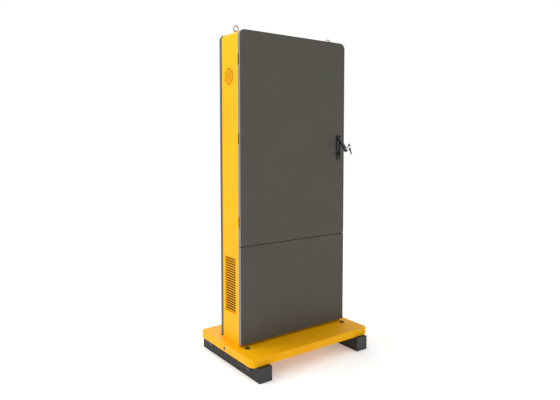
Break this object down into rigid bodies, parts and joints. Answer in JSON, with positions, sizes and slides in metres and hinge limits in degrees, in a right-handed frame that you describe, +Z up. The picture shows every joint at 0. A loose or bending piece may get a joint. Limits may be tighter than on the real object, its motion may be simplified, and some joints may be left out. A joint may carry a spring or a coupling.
{
  "type": "parking pay station",
  "caption": "Slim outdoor cashless pay station: portrait display cabinet with a hinged rear service door and lift-lever lock, on a base tray with two skids.",
  "frame": {"origin": "on the floor, under the middle of the base", "axes": "+Z up; -Y is the customer's side with the display; +Y is the service door; the door's hinge is at +X and its handle at -X"},
  "size_m": [0.96, 0.7, 2.1505],
  "materials": {
    "yellow_paint": "powder coat, fine texture",
    "grey_paint": "matt powder coat",
    "skid_black": "black paint",
    "black_plastic": "moulded, fine texture",
    "black_rubber": "matt",
    "foam": "cellular",
    "filter_foam": "open-cell",
    "zinc_steel": "zinc plated",
    "yellow_zinc": "yellow passivated zinc",
    "lever_black": "satin black",
    "lock_chrome": "polished",
    "key_nickel": "nickel plated",
    "galvanised": "galvanised sheet",
    "glass": "toughened, black printed border",
    "display_black": "dark screen",
    "reader_black": "glossy",
    "window_red": "tinted window",
    "button_blue": "moulded",
    "paper": "paper",
    "aluminium": "anodised",
    "light_plastic": "moulded",
    "terminal_grey": "moulded"
  },
  "bodies": {
    "cabinet": {"base_plugs": "black_rubber", "base_tray": "yellow_paint", "breaker": "light_plastic", "button_bezel": "zinc_steel", "cabinet_floor": "galvanised", "cabinet_shell": "yellow_paint", "cable_entry": "black_rubber", "card_reader": "black_plastic", "code_scanner": "black_plastic", "control_computer": "aluminium", "display_panel": "display_black", "dust_filters": "filter_foam", "equipment_frame": "galvanised", "fan_grilles": "yellow_paint", "fan_housings": "black_plastic", "fixed_seals": "foam", "frame_fasteners": "zinc_steel", "front_frame": "yellow_paint", "front_glass": "glass", "front_panel": "grey_paint", "hinge_body_leaves": "grey_paint", "hinge_pins": "zinc_steel", "intercom_speaker": "black_plastic", "latch_keepers": "zinc_steel", "lifting_eyes": "yellow_zinc", "louvres": "yellow_paint", "lower_rear_panel": "grey_paint", "pay_fascia": "black_plastic", "power_supply": "galvanised", "reader_pad": "reader_black", "rear_frame": "yellow_paint", "receipt_outlet": "light_plastic", "receipt_printer": "galvanised", "scanner_window": "window_red", "skid_beams": "skid_black", "skid_brackets": "zinc_steel", "skid_end_caps": "black_plastic", "terminal_blocks": "terminal_grey"},
    "service_door": {"rear_door": "grey_paint", "door_frame": "galvanised", "door_gasket": "foam", "handle_plate": "black_plastic", "handle_fixings": "zinc_steel", "latch_supports": "galvanised"},
    "handle_lever": {"lift_lever": "lever_black", "lock_barrel": "lock_chrome"},
    "lock": {"lock_plug": "lock_chrome", "lock_key": "key_nickel"},
    "key_bunch": {"spare_keys": "key_nickel"},
    "crank": {"latch_crank": "zinc_steel"},
    "upper_rod": {"upper_latch_rod": "zinc_steel"},
    "lower_rod": {"lower_latch_rod": "zinc_steel"},
    "left_fan": {"fan_rotor_left": "black_plastic"},
    "right_fan": {"fan_rotor_right": "black_plastic"},
    "button": {"help_button": "button_blue"},
    "flap": {"receipt_flap": "reader_black"},
    "toggle": {"breaker_toggle": "black_plastic"},
    "roll": {"paper_roll": "paper"},
    "platen": {"platen_roller": "black_rubber"}
  },
  "joints": [
    {"name": "door_hinge", "type": "hinge", "parent": "cabinet", "child": "service_door", "pos_m": [0.423, 0.105, 1.44], "axis": [0, 0, -1], "range_deg": [0, 115]},
    {"name": "lever_lift", "type": "hinge", "parent": "service_door", "child": "handle_lever", "pos_m": [-0.372, 0.133, 1.452], "axis": [1, 0, 0], "range_deg": [-40, 0]},
    {"name": "lock_turn", "type": "hinge", "parent": "handle_lever", "child": "lock", "pos_m": [-0.372, 0.20178, 1.37003], "axis": [0, 0.766, 0.6428], "range_deg": [0, 90]},
    {"name": "key_swing", "type": "hinge", "parent": "lock", "child": "key_bunch", "pos_m": [-0.372, 0.24138, 1.40327], "axis": [1, 0, 0], "range_deg": [0, 50]},
    {"name": "crank_turn", "type": "hinge", "parent": "service_door", "child": "crank", "pos_m": [-0.372, 0.111, 1.4], "axis": [0, 1, 0], "range_deg": [-50, 0]},
    {"name": "upper_rod_slide", "type": "slide", "parent": "service_door", "child": "upper_rod", "axis": [0, 0, 1], "range_m": [0, 0.01522]},
    {"name": "lower_rod_slide", "type": "slide", "parent": "service_door", "child": "lower_rod", "axis": [0, 0, -1], "range_m": [0, 0.01522]},
    {"name": "left_fan_spin", "type": "hinge", "parent": "cabinet", "child": "left_fan", "pos_m": [-0.405, -0.012, 1.832], "axis": [1, 0, 0], "continuous": true},
    {"name": "right_fan_spin", "type": "hinge", "parent": "cabinet", "child": "right_fan", "pos_m": [0.405, -0.012, 1.832], "axis": [1, 0, 0], "continuous": true},
    {"name": "button_press", "type": "slide", "parent": "cabinet", "child": "button", "axis": [0, 1, 0], "range_m": [0, 0.004], "stiffness_N_per_m": 400},
    {"name": "flap_swing", "type": "hinge", "parent": "cabinet", "child": "flap", "pos_m": [-0.12, -0.126, 0.894], "axis": [-1, 0, 0], "range_deg": [0, 70]},
    {"name": "breaker_throw", "type": "hinge", "parent": "cabinet", "child": "toggle", "pos_m": [-0.12, -0.0055, 1.35], "axis": [1, 0, 0], "range_deg": [-56, 0]},
    {"name": "roll_turn", "type": "hinge", "parent": "cabinet", "child": "roll", "pos_m": [-0.12, -0.025, 0.942], "axis": [1, 0, 0], "continuous": true},
    {"name": "platen_turn", "type": "hinge", "parent": "cabinet", "child": "platen", "pos_m": [-0.12, -0.081, 0.872], "axis": [1, 0, 0], "continuous": true}
  ],
  "couplings": [
    {"joint": "crank_turn", "follows": "lever_lift", "ratio": 1.25},
    {"joint": "upper_rod_slide", "follows": "lever_lift", "m_per_rad": -0.021793},
    {"joint": "lower_rod_slide", "follows": "lever_lift", "m_per_rad": -0.021793},
    {"joint": "platen_turn", "follows": "roll_turn", "ratio": -5.1429}
  ]
}
